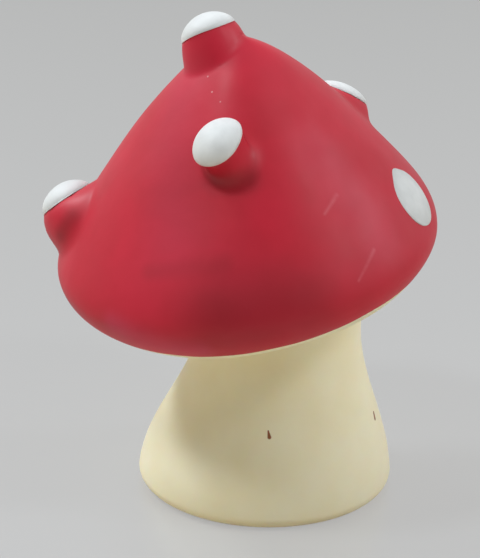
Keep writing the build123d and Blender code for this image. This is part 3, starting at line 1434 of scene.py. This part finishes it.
@dataclass
class Studio:
    """Pale table, soft lights and the camera at the photograph's viewing angle."""

    table_front: Triple = (194, 194, 194)
    table_back: Triple = (162, 162, 161)
    bounce_colour: Triple = (213, 203, 179)
    table_glow: float = 0.75
    table_size: float = 4000.0
    table_gap: float = 0.05
    table_roughness: float = 0.28
    fade_start: float = -60.0
    fade_end: float = 230.0
    sky: tuple[SkySide, ...] = (
        SkySide("X", -0.35),
        SkySide("X", 0.45),
        SkySide("Y", 0.52),
        SkySide("Z", 0.18),
    )
    lights: tuple[SoftBox, ...] = (
        SoftBox("left_front", (-346.0, -200.0, 718.0), 2.05),
        SoftBox("left_side", (-490.0, 283.0, 591.0), 2.75),
        SoftBox("left_back", (-200.0, 346.0, 718.0), 0.55),
        SoftBox("right_side", (693.0, 0.0, 425.0), 1.25),
        SoftBox("right_front", (490.0, -283.0, 591.0), 1.0),
    )
    light_side: float = 120.0
    light_tint: Triple = (0.87, 0.95, 1.0)
    light_target: Triple = (0.0, 0.0, 25.0)
    target: Triple = (-3.26, 0.0, 24.77)
    distance: float = 300.0
    pitch: float = 22.31
    roll: float = 1.0
    focal_pixels: float = 2611.4
    image_height: float = 558.0
    sensor: float = 36.0
    nearest: float = 10.0
    farthest: float = 20000.0

    def pointing(self, place: np.ndarray, forward: np.ndarray, roll: float) -> Matrix:
        """Place and turn of a lamp or camera that looks along a direction.

        Args:
            place: Its place in millimetres.
            forward: The direction it looks along.
            roll: Turn about that direction in degrees.

        Returns:
            The world matrix in metres, whose -Z axis runs forward.
        """
        side = unit(np.cross(forward, UP))
        raised = np.cross(side, forward)
        angle = np.radians(roll)
        right = np.cos(angle) * side + np.sin(angle) * raised
        up = np.cross(right, forward)
        matrix = np.eye(4)
        matrix[:3, :3] = np.stack([right, up, -forward], axis=-1)
        matrix[:3, 3] = place * METRES_PER_MILLIMETRE
        return Matrix(matrix.tolist())

    def table_finish(self) -> bpy.types.Material:
        """Pale, slightly glossy board that darkens to the back and lights the object with a tint of its own.

        Returns:
            The material.
        """
        tree = FinishTree("pale_table")
        rays = tree.add("ShaderNodeLightPath").outputs
        seen = rays["Is Camera Ray"]
        for kind in ("Is Glossy Ray", "Is Transmission Ray"):
            seen = tree.math("ADD", seen, rays[kind])
        place = tree.add("ShaderNodeSeparateXYZ")
        tree.feed(place.inputs["Vector"], tree.place)
        limits = np.array([self.fade_start, self.fade_end]) * METRES_PER_MILLIMETRE
        away = tree.span(place.outputs["Y"], *limits.tolist())
        pale = tree.blend(away, linear(self.table_front), linear(self.table_back))
        dim = tree.blend(self.table_glow, pale, BLACK)
        colour = tree.blend(seen, linear(self.bounce_colour), dim)
        glow = tree.math("MULTIPLY", seen, self.table_glow)
        tree.dress_shader({"Base Color": colour, "Roughness": self.table_roughness})
        tree.dress_shader({"Emission Color": pale, "Emission Strength": glow})
        return tree.material

    def build_table(self) -> None:
        """Level square under the object."""
        half = self.table_size / 2.0 * METRES_PER_MILLIMETRE
        low = -self.table_gap * METRES_PER_MILLIMETRE
        mesh = bpy.data.meshes.new("table")
        corners = [(-half, -half, low), (half, -half, low), (half, half, low), (-half, half, low)]
        mesh.from_pydata(corners, [], [(0, 1, 2, 3)])
        table = bpy.data.objects.new("table", mesh)
        bpy.context.scene.collection.objects.link(table)
        table.data.materials.append(self.table_finish())

    def build_sky(self) -> None:
        """Sky whose strength is the sum of its sides, each times how far the view points along its axis."""
        world = bpy.data.worlds.new("studio")
        world.use_nodes = True
        tree = world.node_tree
        background = tree.nodes["Background"]
        background.inputs["Color"].default_value = WHITE
        direction = tree.nodes.new("ShaderNodeSeparateXYZ")
        tree.links.new(tree.nodes.new("ShaderNodeTexCoord").outputs["Generated"], direction.inputs["Vector"])
        total = tree.nodes.new("ShaderNodeValue").outputs["Value"]
        total.default_value = 0.0
        for side in self.sky:
            part = tree.nodes.new("ShaderNodeMath")
            part.operation = "MULTIPLY"
            part.use_clamp = True
            tree.links.new(direction.outputs[side.axis], part.inputs[0])
            part.inputs[1].default_value = side.strength
            both = tree.nodes.new("ShaderNodeMath")
            tree.links.new(total, both.inputs[0])
            tree.links.new(part.outputs["Value"], both.inputs[1])
            total = both.outputs["Value"]
        tree.links.new(total, background.inputs["Strength"])
        bpy.context.scene.world = world

    def build_lights(self) -> None:
        """Soft boxes that point at the middle of the object."""
        for box in self.lights:
            lamp = bpy.data.lights.new(box.name, "AREA")
            lamp.energy = box.power
            lamp.color = self.light_tint
            lamp.size = self.light_side * METRES_PER_MILLIMETRE
            holder = bpy.data.objects.new(box.name, lamp)
            forward = unit(np.asarray(self.light_target) - np.asarray(box.place))
            holder.matrix_world = self.pointing(np.asarray(box.place), forward, 0.0)
            bpy.context.scene.collection.objects.link(holder)

    def build_camera(self) -> None:
        """Camera with the photograph's place, turn and focal length."""
        lens = bpy.data.cameras.new("camera")
        lens.sensor_width = self.sensor
        lens.lens = self.focal_pixels * self.sensor / self.image_height
        lens.clip_start = self.nearest * METRES_PER_MILLIMETRE
        lens.clip_end = self.farthest * METRES_PER_MILLIMETRE
        down = np.radians(self.pitch)
        forward = np.array([0.0, np.cos(down), -np.sin(down)])
        camera = bpy.data.objects.new("camera", lens)
        place = np.asarray(self.target) - self.distance * forward
        camera.matrix_world = self.pointing(place, forward, self.roll)
        bpy.context.scene.collection.objects.link(camera)
        bpy.context.scene.camera = camera

    def build(self) -> None:
        """Sets up the table, the lights, the camera and the plain view transform."""
        self.build_table()
        self.build_sky()
        self.build_lights()
        self.build_camera()
        bpy.context.scene.view_settings.view_transform = "Standard"


def main() -> None:
    """Builds the stem, the cap, its dabs and the studio, in that order."""
    logging.basicConfig(level=logging.INFO)
    cream = CreamBody().build()
    red = RedPaint().build()
    white = WhiteEnamel().build()
    stem = Stem()
    cap = Cap(stem)
    stem.build(cream)
    cap.build(cream, red)
    for spot in SPOTS:
        Dab(cap, spot).build(white)
    Studio().build()


if __name__ == "__main__":
    main()
